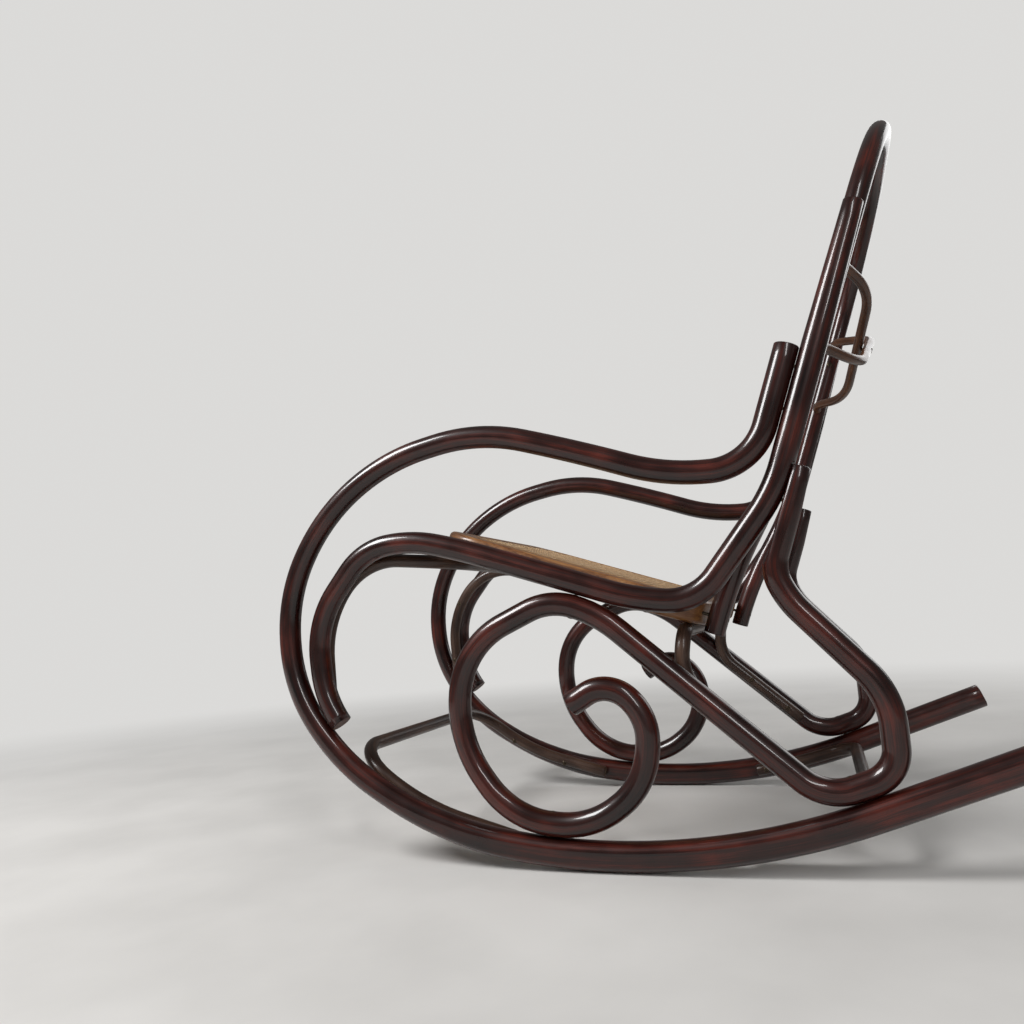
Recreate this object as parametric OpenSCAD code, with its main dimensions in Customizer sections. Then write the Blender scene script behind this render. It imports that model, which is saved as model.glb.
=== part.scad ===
// Bentwood rocking chair, in millimetres. X runs across, the front faces -Y, Z is up, and the
// origin is on the floor under the middle of the chair. Every bent stick is a row of corner
// points that are rounded as wide as the neighbouring corners allow.

/* [Overall] */
// Distance between the centre planes of the two side frames
side_span = 530; // [480:10:600]
// Length of the straight back post, from its bend to its top end
post_length = 380; // [330:10:460]
// Lean of the back, away from upright, in degrees
back_lean = 16.3; // [14:0.1:18]

/* [Sticks] */
// Diameter of the sticks in the side frames
stick_d = 32; // [28:1:34]
// Diameter at the turned-down top ends of the posts
post_top_d = 25; // [20:1:28]
// Diameter at the top ends of the rear legs
leg_top_d = 26; // [22:1:28]
// Diameter of the back hoop
hoop_d = 28; // [24:1:32]
// Diameter of the stretchers
stretcher_d = 20; // [16:1:24]
// Diameter of the crossed rods in the back
bow_d = 14; // [12:1:17]

/* [Runners] */
// Radius of the runners, at their centre line
runner_radius = 950; // [900:10:1000]
// Depth of the runners where they carry the load
runner_depth = 38; // [36:1:42]
// Width of the runners across their flat sides
runner_width = 33; // [32:1:36]
// Length of the straight rear ends of the runners
runner_tail = 214; // [180:2:240]

/* [Seat] */
// Front-to-rear length of the seat ring, along its slope
seat_length = 405; // [380:5:440]
// Width of the seat ring's wood
seat_rim = 46; // [40:1:55]
// Thickness of the seat ring
seat_thickness = 34; // [30:1:38]
// Radius of the seat ring's outer corners
seat_corner = 75; // [50:5:100]
// Radius of the corners of the cane opening
cane_corner = 50; // [35:5:60]
// Thickness of the woven cane
cane_thickness = 2.4; // [1.6:0.2:3]
// Width of the spline that holds the cane
spline_width = 5; // [4:0.5:7]
// Height of the spline
spline_height = 7; // [5:0.5:9]

/* [Back] */
// How far the hoop's top stands above the ends of the posts, along the back
hoop_rise = 206; // [150:2:230]
// Radius that the hoop's top corners are rounded to
hoop_bend = 205; // [160:5:215]
// Height of the crossed rods' upper ends above the posts' bend
bow_upper = 330; // [300:5:350]
// Height of the crossed rods' lower ends above the posts' bend
bow_lower = 215; // [190:5:250]
// How far the first rod bulges behind the hoop
bow_bulge = 44; // [30:2:50]

/* [Screws] */
// Diameter of the screw shanks
screw_d = 4.5; // [4:0.5:5.5]
// Diameter of the screw heads
head_d = 9; // [8:0.5:11]
// Height of the screw heads
head_h = 3; // [2.5:0.5:4]
// How far the floor of a head's recess lies below the stick's surface
head_sink = 2.5; // [2:0.5:4]

/* [Hidden] */

seat_gap = 0.3;       // between two sticks that are screwed together
fit_gap = 0.2;        // around a screw or a rod in its hole
flat_depth = 3.5;     // depth of the flat that the leg's top end is seated on
stick_sides = 12;     // flats around a stick
bend_step = 10;       // largest turn between two rings of a stick, in degrees
ring_space = 45;      // largest distance between two rings in a bend
ring_near = 3;        // smallest distance between two rings
end_share = 0.98;     // part of an end stretch that a bend may use
eps = 0.01;

side_x = side_span / 2;
inner_x = side_x - stick_d / 2 - seat_gap;   // inner face of a side frame, with its gap

// ---- Vectors and frames ----

function unit(v) = v / norm(v);
function pt(p) = [p[0], p[1], p[2]];
function way(p, i) = unit(pt(p[i + 1]) - pt(p[i]));
function across(z) = abs(z[0]) < 0.9 ? unit(cross([1, 0, 0], z)) : unit(cross([0, 1, 0], z));
function frame(x, y, z, o) = [
    [x[0], y[0], z[0], o[0]], [x[1], y[1], z[1], o[1]], [x[2], y[2], z[2], o[2]], [0, 0, 0, 1]
];
// Corners [y, z] or [y, z, largest radius] of a side profile, placed at x
function at_x(x, p) = [for (q = p) [x, q[0], q[1], q[2]]];
// The same stick continued on the other side of the chair
function mirrored(p) = [for (i = [len(p) - 1 : -1 : 0]) [-p[i][0], p[i][1], p[i][2], p[i][3]]];

// ---- Bends: each corner may carry a largest radius as a fourth value ----

function turn(p, i) = let (u = way(p, i - 1), v = way(p, i)) atan2(norm(cross(u, v)), u * v);
function reach(p, i) = min(
    norm(pt(p[i]) - pt(p[i - 1])) * (i == 1 ? end_share : 0.5),
    norm(pt(p[i + 1]) - pt(p[i])) * (i == len(p) - 2 ? end_share : 0.5)
);
function setback(p, i) =
    i == 0 || i == len(p) - 1 ? 0
    : p[i][3] == undef ? reach(p, i)
    : min(reach(p, i), p[i][3] * tan(turn(p, i) / 2));
function bend_radius(p, i) = setback(p, i) / tan(turn(p, i) / 2);

module along(from, to, d1, d2) {
    z = unit(to - from);
    x = across(z);
    multmatrix(frame(x, cross(z, x), z, from))
        cylinder(h = norm(to - from), d1 = d1, d2 = d2, $fn = 32);
}

// Points along a stick's centre line, close enough together for its bends
function bend_points(p, i) =
    let (u = way(p, i - 1), n = unit(cross(u, way(p, i))), a = turn(p, i), r = bend_radius(p, i))
    let (start = pt(p[i]) - u * setback(p, i), side = cross(n, u))
    let (steps = ceil(max(a / bend_step, a * PI / 180 * r / ring_space)))
    [for (k = [0 : steps])
        start + side * (r * (1 - cos(a * k / steps))) + u * (r * sin(a * k / steps))];
function thinned(c) = [
    for (i = [0 : len(c) - 1])
        if (i == 0 || i == len(c) - 1
            || (norm(c[i] - c[i - 1]) > ring_near && norm(c[i] - c[len(c) - 1]) > ring_near)) c[i]
];
function centre_line(p) = thinned(concat(
    [pt(p[0])],
    [for (i = [1 : len(p) - 2]) each bend_points(p, i)],
    [pt(p[len(p) - 1])]
));

// A stick swept along centre points c; sizes has each ring's size in the side plane and across it
function heading(c, i) = unit(c[min(i + 1, len(c) - 1)] - c[max(i - 1, 0)]);
function carried(c, i, x) = let (t = heading(c, i), now = unit(x - t * (x * t)))
    i == len(c) - 1 ? [now] : concat([now], carried(c, i + 1, now));
function ring(o, x, y, size) = [
    for (k = [0 : stick_sides - 1])
        let (a = 360 * k / stick_sides, big = max(size[0], size[1]) / 2)
        o + x * max(-size[0] / 2, min(size[0] / 2, big * cos(a)))
          + y * max(-size[1] / 2, min(size[1] / 2, big * sin(a)))
];
module swept(c, sizes) {
    n = stick_sides;
    last = len(c) - 1;
    xs = carried(c, 0, across(heading(c, 0)));
    points = [for (i = [0 : last]) each ring(c[i], xs[i], cross(heading(c, i), xs[i]), sizes[i])];
    walls = [for (i = [0 : last - 1], k = [0 : n - 1])
        let (a = i * n + k, b = i * n + (k + 1) % n)
        each [[a, a + n, b], [b, a + n, b + n]]];
    ends = [[for (k = [0 : n - 1]) k], [for (k = [n - 1 : -1 : 0]) last * n + k]];
    polyhedron(points, concat(ends, walls));
}
module bent_stick(p, d) {
    c = centre_line(p);
    swept(c, [for (q = c) [d, d]]);
}

// ---- Back line: s runs up the post from its bend, off is to the rear ----

post_foot = [208, 485];
back_up = [sin(back_lean), cos(back_lean)];
back_out = [cos(back_lean), -sin(back_lean)];
function back_at(s, off = 0) = post_foot + back_up * s + back_out * off;
function back_3d(x, s, off = 0) = let (q = back_at(s, off)) [x, q[0], q[1]];

// ---- Rail line: s runs to the rear from the rail's front bend, off is upwards ----

rail_front = [-220, 420];
rail_rear = [30, 350];
rail_way = unit(rail_rear - rail_front);
rail_up = [-rail_way[1], rail_way[0]];
function rail_at(s, off = 0) = rail_front + rail_way * s + rail_up * off;
seat_slope = atan2(rail_front[1] - rail_rear[1], rail_rear[0] - rail_front[0]);

// ---- Runner: a circle from the front join to the tail; a is the angle past its lowest point ----

runner_low = [-70, runner_depth / 2];
runner_front_angle = -5;
runner_tail_angle = 24;
runner_rings = 11;     // rings of the runner's round stretch, beyond its first
runner_ring_angle = (runner_tail_angle - runner_front_angle) / runner_rings;
runner_taper_from = -330;
runner_taper = 170;   // length over which the round stick grows into the runner
function runner_way(a) = [cos(a), sin(a)];
function runner_in(a) = [-sin(a), cos(a)];
function runner_at(a, off = 0) =
    runner_low + [0, runner_radius] - runner_in(a) * (runner_radius - off);

// The chair comes to rest rolled back on its runners until its weight is over the point of contact
rest_roll = 4.227;
rest_y = 54.3;
rest_drop = (runner_radius + runner_depth / 2) * (1 - cos(runner_ring_angle / 2));
module at_rest() {
    translate([0, runner_low[0] + rest_y, runner_low[1] + runner_radius - rest_drop])
        rotate([-rest_roll, 0, 0])
            translate([0, -runner_low[0], -runner_low[1] - runner_radius]) children();
}

// ---- Side profiles ----

pair = stick_d + seat_gap;                        // centre distance of two sticks side by side
on_runner = runner_depth / 2 + stick_d / 2 + seat_gap;

arm_end = 185;
bow_from = [-495, 215];
bow_to = [-405, 110];
arm_profile = concat(
    [back_at(arm_end, -pair), back_at(25, -pair)],
    [[75, 512], [-60, 555], [-195, 590], [-345, 555], [-450, 475], [-510, 355], bow_from],
    [bow_to, [-290, 52]],
    [runner_at(runner_front_angle) - runner_way(runner_front_angle) * 40, runner_at(runner_front_angle)]
);
function point_3d(x, q) = [x, q[0], q[1]];
rocker_line = concat(
    centre_line(at_x(side_x, arm_profile)),
    [for (i = [1 : runner_rings])
        point_3d(side_x, runner_at(runner_front_angle + runner_ring_angle * i))],
    [for (share = [0.25, 1])
        point_3d(side_x, runner_at(runner_tail_angle) + runner_way(runner_tail_angle) * runner_tail * share)]
);
// How far the stick has grown from its round front part to the deep runner, from 0 to 1
function grown(q) = q[2] > 200 ? 0 : max(0, min(1, (q[1] - runner_taper_from) / runner_taper));

// The front curl ends against the straight stretch of the bow between two of its corners
bow_way = unit(bow_to - bow_from);
bow_in = [-bow_way[1], bow_way[0]];
curl_lift = 1.5;      // keeps the straight end of the curl clear of the curved bow
curl_end = 22;
function on_bow(s) = bow_from + bow_way * s + bow_in * (pair + curl_lift);
curl_contact = norm(bow_to - bow_from) / 2;

post_profile = concat(
    [on_bow(curl_contact + curl_end), on_bow(curl_contact - curl_end)],
    [[-458, 315], [-380, 422], [-300, 436], rail_front, rail_rear, [110, 347]],
    [concat(back_at(0), [330]), back_at(arm_end + 10)]
);
post_line = concat(centre_line(at_x(side_x, post_profile)), [back_3d(side_x, post_length)]);
function post_d(q) = q == back_3d(side_x, post_length) ? post_top_d : stick_d;

leg_offset = 22;
leg_end = 38;
leg_contact = 23;     // runner angle under the rear loop
scroll_contact = -1;  // runner angle under the scroll
rail_contact = 180;   // place along the rail above the scroll
leg_profile = concat(
    [back_at(-25, leg_offset), back_at(-95, leg_offset)],
    [[220, 350], [330, 240], [335, 165]],
    [runner_at(leg_contact, on_runner) + runner_way(leg_contact) * 35,
     runner_at(leg_contact, on_runner) - runner_way(leg_contact) * 35,
     rail_at(rail_contact + 35, -pair), rail_at(rail_contact - 35, -pair)],
    [[-215, 285], [-225, 155]],
    [runner_at(scroll_contact, on_runner) - runner_way(scroll_contact) * 55,
     runner_at(scroll_contact, on_runner) + runner_way(scroll_contact) * 55],
    [[40, 115], [45, 200], [-10, 245], [-60, 210]]
);
leg_line = concat([back_3d(side_x, leg_end, leg_offset)], centre_line(at_x(side_x, leg_profile)));

// ---- Screws: point on the joint, way in, wood under the head, bite beyond the joint ----

function screw(k, way, grip, bite) = [k, way, grip, bite];
function side_screw(k, way, grip, bite) = screw([side_x, k[0], k[1]], [0, way[0], way[1]], grip, bite);
function x_screw(x, k, grip, bite) = screw([x, k[0], k[1]], [1, 0, 0], grip, bite);

half = stick_d / 2;
arm_post_list = [for (s = [105, 160]) side_screw(back_at(s, -pair / 2), back_out, half, 22)];
leg_post_list = [for (s = [-8, 18]) side_screw(back_at(s, half - flat_depth), -back_out, 22, 18)];
curl_runner_list = [side_screw(on_bow(curl_contact + 8) - bow_in * pair / 2, -bow_in, half * 2, 22)];
scroll_rail_list = [side_screw(rail_at(rail_contact, -pair / 2), rail_up, half * 2, 24)];
scroll_runner_list = [
    side_screw(runner_at(scroll_contact, runner_depth / 2), -runner_in(scroll_contact), half * 2, 24)];
leg_runner_list = [
    side_screw(runner_at(leg_contact, runner_depth / 2), -runner_in(leg_contact), half * 2, 24)];

hoop_x = inner_x - hoop_d / 2;
hoop_post_list = [for (s = [60, 300]) x_screw(inner_x, back_at(s), hoop_d, 20)];

// The seat ring: y runs down its slope and z stands on it, from a point on the rail's line
seat_middle = 145;
ring_drop = 13;
ring_half = inner_x;
function seat_3d(x, y, z) = let (q = rail_at(seat_middle + y, z)) [x, q[0], q[1]];
seat_rail_list = [for (y = [-70, 60])
    x_screw(inner_x, rail_at(seat_middle + y, 0), seat_rim, 18)];

// Hoop: down the back line, in behind the seat ring's rear edge
hoop_foot_x = 205;
hoop_top = post_length + hoop_rise - hoop_d / 2;
ring_rear = seat_length / 2;
hoop_foot_y = ring_rear + hoop_d / 2 + seat_gap;
hoop_side = [
    seat_3d(hoop_foot_x, hoop_foot_y, -ring_drop - 6),
    seat_3d(hoop_foot_x, hoop_foot_y, seat_thickness + 22),
    back_3d(hoop_x, 30),
    concat(back_3d(hoop_x, hoop_top), [hoop_bend])
];
hoop_path = concat(hoop_side, mirrored(hoop_side));
hoop_seat_list = [
    screw(seat_3d(hoop_foot_x, ring_rear, 4), [0, -rail_way[0], -rail_way[1]], hoop_d, 26)];

// Crossed rods: their ends are let into the hoop
socket_depth = 8;
bow_bend = 60;
bow_tip = hoop_x - hoop_d / 2 + socket_depth - fit_gap;
function bow_path(side, bulge) = [
    back_3d(side * bow_tip, bow_upper),
    concat(back_3d(side * (bow_tip - 45), bow_upper), [bow_bend]),
    back_3d(side * 110, bow_upper - 5, bulge),
    back_3d(-side * 110, bow_lower + 5, bulge),
    concat(back_3d(-side * (bow_tip - 45), bow_lower), [bow_bend]),
    back_3d(-side * bow_tip, bow_lower)
];
bow_middle = (bow_upper + bow_lower) / 2;
rear_bulge = bow_bulge + bow_d + seat_gap;

// ---- Stretchers: arms inside the side frames, cross bar between them ----

arm_x = inner_x - stretcher_d / 2;
runner_arm_x = side_x - runner_width / 2 - seat_gap - stretcher_d / 2;
bar_corner = 60;
under_seat = ring_drop + stretcher_d / 2 + seat_gap;

front_bar = seat_3d(arm_x, -170, -under_seat);
front_seat_arm = concat(
    at_x(arm_x, [[-446, 203], [-458, 315], [-392, 410]]),
    [concat(front_bar, [bar_corner])]
);
front_seat_path = concat(front_seat_arm, mirrored(front_seat_arm));
front_seat_stretcher_list = [
    for (k = [[-448, 225], [-440, 340]]) x_screw(inner_x, k, stretcher_d, 16)];

rear_bar = seat_3d(arm_x, 180, -under_seat);
diagonal_from = runner_at(leg_contact, on_runner) - runner_way(leg_contact) * 35;
diagonal_to = rail_at(rail_contact + 35, -pair);
function diagonal(t) = diagonal_from + (diagonal_to - diagonal_from) * t;
rear_seat_arm = concat(
    at_x(arm_x, [diagonal(0.12), diagonal(0.62)]),
    [concat(rear_bar, [bar_corner])]
);
rear_seat_path = concat(rear_seat_arm, mirrored(rear_seat_arm));
rear_seat_stretcher_list = [for (t = [0.2, 0.42]) x_screw(inner_x, diagonal(t), stretcher_d, 16)];

front_runner_arm = concat(
    at_x(runner_arm_x, [runner_at(-4), [-290, 54]]),
    [[runner_arm_x, -402, 126, 90]]
);
front_runner_path = concat(front_runner_arm, mirrored(front_runner_arm));
front_runner_stretcher_list = [
    for (k = [[-215, 34], [-318, 70]]) x_screw(runner_arm_x + stretcher_d / 2, k, stretcher_d, 16)];

rear_runner_arm = concat(
    at_x(runner_arm_x, [runner_at(13), runner_at(18)]),
    [concat([runner_arm_x], runner_at(23.5), [80])]
);
rear_runner_path = concat(rear_runner_arm, mirrored(rear_runner_arm));
rear_runner_stretcher_list = [
    for (a = [14, 17]) x_screw(runner_arm_x + stretcher_d / 2, runner_at(a), stretcher_d, 16)];

bow_cross_list = [
    screw(back_3d(0, bow_middle, bow_bulge + bow_d / 2 + seat_gap / 2),
          [0, -back_out[0], -back_out[1]], bow_d, bow_d * 0.7)];

// ---- Screw solids and the holes that they sit in ----

module screw_solid(s) {
    z = s[1];
    x = across(z);
    top = -s[2] + head_sink - head_h - fit_gap / 2;
    multmatrix(frame(x, cross(z, x), z, s[0])) difference() {
        union() {
            translate([0, 0, top]) cylinder(d1 = head_d * 0.7, d2 = head_d, h = head_h / 3, $fn = 32);
            translate([0, 0, top + head_h / 3])
                cylinder(d = head_d, h = head_h * 2 / 3, $fn = 32);
            translate([0, 0, top + head_h])
                cylinder(d = screw_d, h = s[3] - top - head_h - screw_d, $fn = 24);
            translate([0, 0, s[3] - screw_d])
                cylinder(d1 = screw_d, d2 = screw_d / 4, h = screw_d, $fn = 24);
        }
        translate([-head_d, -head_d / 16, top - eps]) cube([head_d * 2, head_d / 8, head_h / 2]);
    }
}

module screw_hole(s) {
    z = s[1];
    x = across(z);
    multmatrix(frame(x, cross(z, x), z, s[0])) {
        translate([0, 0, -s[2] - 3 * head_h])
            cylinder(d = head_d + 2 * fit_gap, h = 3 * head_h + head_sink, $fn = 32);
        translate([0, 0, -s[2]]) cylinder(d = screw_d + 2 * fit_gap, h = s[2] + s[3] + fit_gap, $fn = 24);
    }
}

module holes(list) { for (s = list) screw_hole(s); }
module screws(list) { for (s = list) screw_solid(s); }
module both_sides() { children(); mirror([1, 0, 0]) children(); }

// ---- Side frames, as the left one ----

module arm_rocker() {
    difference() {
        swept(rocker_line, [for (q = rocker_line)
            [stick_d + (runner_depth - stick_d) * grown(q), stick_d + (runner_width - stick_d) * grown(q)]]);
        holes(arm_post_list);
        holes(curl_runner_list);
        holes(scroll_runner_list);
        holes(leg_runner_list);
        holes(front_runner_stretcher_list);
        holes(rear_runner_stretcher_list);
    }
}

module seat_post() {
    difference() {
        swept(post_line, [for (q = post_line) [1, 1] * post_d(q)]);
        leg_flat();
        holes(arm_post_list);
        holes(leg_post_list);
        holes(curl_runner_list);
        holes(scroll_rail_list);
        holes(hoop_post_list);
        holes(seat_rail_list);
        holes(front_seat_stretcher_list);
    }
}

// The flat behind the post that the leg's end lies on
module leg_flat() {
    translate(back_3d(side_x, -70, half - flat_depth))
        rotate([-back_lean, 0, 0])
            translate([-stick_d, 0, 0]) cube([stick_d * 2, stick_d, leg_end + 72]);
}

module leg_scroll() {
    difference() {
        swept(leg_line, [for (i = [0 : len(leg_line) - 1]) [1, 1] * (i == 0 ? leg_top_d : stick_d)]);
        translate(back_3d(side_x, -72, half - flat_depth + seat_gap))
            rotate([-back_lean, 0, 0])
                translate([-stick_d, -stick_d, 0]) cube([stick_d * 2, stick_d, leg_end + 74]);
        holes(leg_post_list);
        holes(scroll_rail_list);
        holes(scroll_runner_list);
        holes(leg_runner_list);
        holes(rear_seat_stretcher_list);
    }
}

wood = "#4A2014";
module left_arm_rocker() { color(wood) at_rest() arm_rocker(); }
module right_arm_rocker() { color(wood) at_rest() mirror([1, 0, 0]) arm_rocker(); }
module left_seat_post() { color(wood) at_rest() seat_post(); }
module right_seat_post() { color(wood) at_rest() mirror([1, 0, 0]) seat_post(); }
module left_leg_scroll() { color(wood) at_rest() leg_scroll(); }
module right_leg_scroll() { color(wood) at_rest() mirror([1, 0, 0]) leg_scroll(); }

// ---- Back ----

module back_hoop() {
    color(wood) at_rest() difference() {
        bent_stick(hoop_path, hoop_d);
        both_sides() {
            holes(hoop_post_list);
            holes(hoop_seat_list);
            for (s = [bow_upper, bow_lower])
                along(back_3d(hoop_x - hoop_d, s), back_3d(bow_tip + fit_gap, s),
                      bow_d + 2 * fit_gap, bow_d + 2 * fit_gap);
        }
    }
}

bow_wood = "#6B4A2E";
module left_back_bow() {
    color(bow_wood) at_rest() difference() {
        bent_stick(bow_path(1, bow_bulge), bow_d);
        holes(bow_cross_list);
    }
}
module right_back_bow() {
    color(bow_wood) at_rest() difference() {
        bent_stick(bow_path(-1, rear_bulge), bow_d);
        holes(bow_cross_list);
    }
}

// ---- Seat ----

module on_seat(z) {
    translate(seat_3d(0, 0, z)) rotate([-seat_slope, 0, 0]) children();
}

module rounded_plate(w, l, r) {
    square([w - 2 * r, l], center = true);
    square([w, l - 2 * r], center = true);
    for (x = [-1, 1], y = [-1, 1])
        translate([x * (w / 2 - r), y * (l / 2 - r)]) circle(r = r, $fn = 96);
}

module plate_ring(w, l, r, rim) {
    difference() {
        rounded_plate(w, l, r);
        rounded_plate(w - 2 * rim, l - 2 * rim, r - rim);
    }
}

opening_w = 2 * (ring_half - seat_rim);
opening_l = seat_length - 2 * seat_rim;
cane_lip = 9;
sheet_w = opening_w + 2 * cane_lip;
sheet_l = opening_l + 2 * cane_lip;
groove = spline_width + 2 * fit_gap;

module seat_frame() {
    color("#7A4F2B") at_rest() difference() {
        on_seat(-ring_drop) linear_extrude(seat_thickness) difference() {
            rounded_plate(2 * ring_half, seat_length, seat_corner);
            rounded_plate(opening_w, opening_l, cane_corner);
        }
        on_seat(seat_thickness - ring_drop - cane_thickness)
            linear_extrude(cane_thickness * 2)
                rounded_plate(sheet_w + groove, sheet_l + groove, cane_corner + cane_lip + groove / 2);
        on_seat(seat_thickness - ring_drop - spline_height)
            linear_extrude(spline_height * 2)
                plate_ring(sheet_w + 2 * groove, sheet_l + 2 * groove,
                           cane_corner + cane_lip + groove, groove);
        both_sides() {
            holes(seat_rail_list);
            holes(hoop_seat_list);
        }
    }
}

module seat_cane() {
    color("#B08D57") at_rest() on_seat(seat_thickness - ring_drop - cane_thickness)
        linear_extrude(cane_thickness)
            rounded_plate(sheet_w - 2 * fit_gap, sheet_l - 2 * fit_gap, cane_corner + cane_lip - fit_gap);
}

module seat_spline() {
    color("#8A6238") at_rest() on_seat(seat_thickness - ring_drop - spline_height)
        linear_extrude(spline_height)
            plate_ring(sheet_w + 2 * groove - 2 * fit_gap, sheet_l + 2 * groove - 2 * fit_gap,
                       cane_corner + cane_lip + groove - fit_gap, spline_width);
}

// ---- Stretchers ----

module stretcher(path, list) {
    difference() {
        bent_stick(path, stretcher_d);
        both_sides() holes(list);
    }
}
bar_wood = "#5A4436";
module front_seat_stretcher() { color(bar_wood) at_rest() stretcher(front_seat_path, front_seat_stretcher_list); }
module rear_seat_stretcher() { color(bar_wood) at_rest() stretcher(rear_seat_path, rear_seat_stretcher_list); }
module front_runner_stretcher() {
    color(bar_wood) at_rest() stretcher(front_runner_path, front_runner_stretcher_list);
}
module rear_runner_stretcher() {
    color(bar_wood) at_rest() stretcher(rear_runner_path, rear_runner_stretcher_list);
}

// ---- Screws ----

steel = "#6E675C";
module arm_post_screws() { color(steel) at_rest() both_sides() screws(arm_post_list); }
module leg_post_screws() { color(steel) at_rest() both_sides() screws(leg_post_list); }
module curl_runner_screws() { color(steel) at_rest() both_sides() screws(curl_runner_list); }
module scroll_rail_screws() { color(steel) at_rest() both_sides() screws(scroll_rail_list); }
module scroll_runner_screws() { color(steel) at_rest() both_sides() screws(scroll_runner_list); }
module leg_runner_screws() { color(steel) at_rest() both_sides() screws(leg_runner_list); }
module hoop_post_screws() { color(steel) at_rest() both_sides() screws(hoop_post_list); }
module hoop_seat_screws() { color(steel) at_rest() both_sides() screws(hoop_seat_list); }
module seat_rail_screws() { color(steel) at_rest() both_sides() screws(seat_rail_list); }
module front_seat_stretcher_screws() { color(steel) at_rest() both_sides() screws(front_seat_stretcher_list); }
module rear_seat_stretcher_screws() { color(steel) at_rest() both_sides() screws(rear_seat_stretcher_list); }
module front_runner_stretcher_screws() { color(steel) at_rest() both_sides() screws(front_runner_stretcher_list); }
module rear_runner_stretcher_screws() { color(steel) at_rest() both_sides() screws(rear_runner_stretcher_list); }
module bow_cross_screw() { color(steel) at_rest() screws(bow_cross_list); }

left_arm_rocker();
right_arm_rocker();
left_seat_post();
right_seat_post();
left_leg_scroll();
right_leg_scroll();
back_hoop();
left_back_bow();
right_back_bow();
seat_frame();
seat_cane();
seat_spline();
front_seat_stretcher();
rear_seat_stretcher();
front_runner_stretcher();
rear_runner_stretcher();
arm_post_screws();
leg_post_screws();
curl_runner_screws();
scroll_rail_screws();
scroll_runner_screws();
leg_runner_screws();
hoop_post_screws();
hoop_seat_screws();
seat_rail_screws();
front_seat_stretcher_screws();
rear_seat_stretcher_screws();
front_runner_stretcher_screws();
rear_runner_stretcher_screws();
bow_cross_screw();
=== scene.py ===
import math

import bmesh
import bpy
from mathutils import Matrix, Vector


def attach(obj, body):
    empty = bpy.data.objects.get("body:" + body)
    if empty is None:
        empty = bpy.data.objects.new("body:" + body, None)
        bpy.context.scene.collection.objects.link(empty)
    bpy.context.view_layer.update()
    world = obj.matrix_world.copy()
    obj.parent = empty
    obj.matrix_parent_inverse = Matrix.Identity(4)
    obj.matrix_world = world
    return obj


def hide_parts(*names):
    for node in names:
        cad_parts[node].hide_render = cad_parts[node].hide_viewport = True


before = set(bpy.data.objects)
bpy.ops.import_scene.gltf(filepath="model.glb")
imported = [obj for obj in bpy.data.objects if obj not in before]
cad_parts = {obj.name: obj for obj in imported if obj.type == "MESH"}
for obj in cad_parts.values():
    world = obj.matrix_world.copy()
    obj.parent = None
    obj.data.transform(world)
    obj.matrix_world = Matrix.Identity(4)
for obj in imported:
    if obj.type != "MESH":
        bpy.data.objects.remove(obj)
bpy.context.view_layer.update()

# ---- Arm rockers ----
# One beech stick a side is steamed and bent into arm, front bow and runner; from the front
# bow it grows into a deeper, flat-sided runner with a square-cut tail. Screwed to the post.

# Side profiles are drawn as (y, z) in millimetres, with the front towards -Y. The whole chair
# then rolls back on its runners until its weight is over the point of contact.
SIDE_X = 265
STICK_D = 32
PAIR = 32.3  # centre distance of two sticks that are screwed side by side
ARM_END = 185
RUNNER_RADIUS = 949.75
RUNNER_DEPTH = 38
RUNNER_WIDTH = 33
RUNNER_TAIL = 214
RUNNER_FROM = -5
RUNNER_TO = 24
TAPER_FROM = -330
TAPER_LENGTH = 170
ROLL_CENTRE = (-70, 969)
REST_ROLL = math.radians(-4.227)
REST_SHIFT = 54.3
REST_DROP = 0.256
BACK_LEAN = math.radians(16.3)
POST_FOOT = Vector((208, 485))
BACK_UP = Vector((math.sin(BACK_LEAN), math.cos(BACK_LEAN)))
BACK_OUT = Vector((math.cos(BACK_LEAN), -math.sin(BACK_LEAN)))

# How finely the bends are drawn: largest turn and largest distances between two rings
BEND_STEP = math.radians(4)
BEND_SPACING = 12
STRAIGHT_SPACING = 25
NEAREST_RINGS = 0.5
END_SHARE = 0.98  # the part of an end stretch that a bend may use
NEARLY_SIDEWAYS = 0.4  # below this, a stick starts across the chair, as the crossed rods do

rest = (
    Matrix.Scale(0.001, 4)
    @ Matrix.Translation((0, ROLL_CENTRE[0] + REST_SHIFT, ROLL_CENTRE[1] - REST_DROP))
    @ Matrix.Rotation(REST_ROLL, 4, "X")
    @ Matrix.Translation((0, -ROLL_CENTRE[0], -ROLL_CENTRE[1]))
)


def on_back(up, out=0):
    """A point of the side profile, up the back's line and behind it."""
    return tuple(POST_FOOT + BACK_UP * up + BACK_OUT * out)


def on_runner(degrees, above=0, along=0):
    """A point of the side profile on the runner's circle, raised off it or moved along it."""
    a = math.radians(degrees)
    radius = RUNNER_RADIUS - above
    centre_y, centre_z = ROLL_CENTRE
    return (
        centre_y + math.sin(a) * radius + math.cos(a) * along,
        centre_z - math.cos(a) * radius + math.sin(a) * along,
    )


def at_x(x, profile):
    """Corners of a side profile placed at x, with a largest radius last if one is given."""
    return [(x, *corner) for corner in profile]


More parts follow.
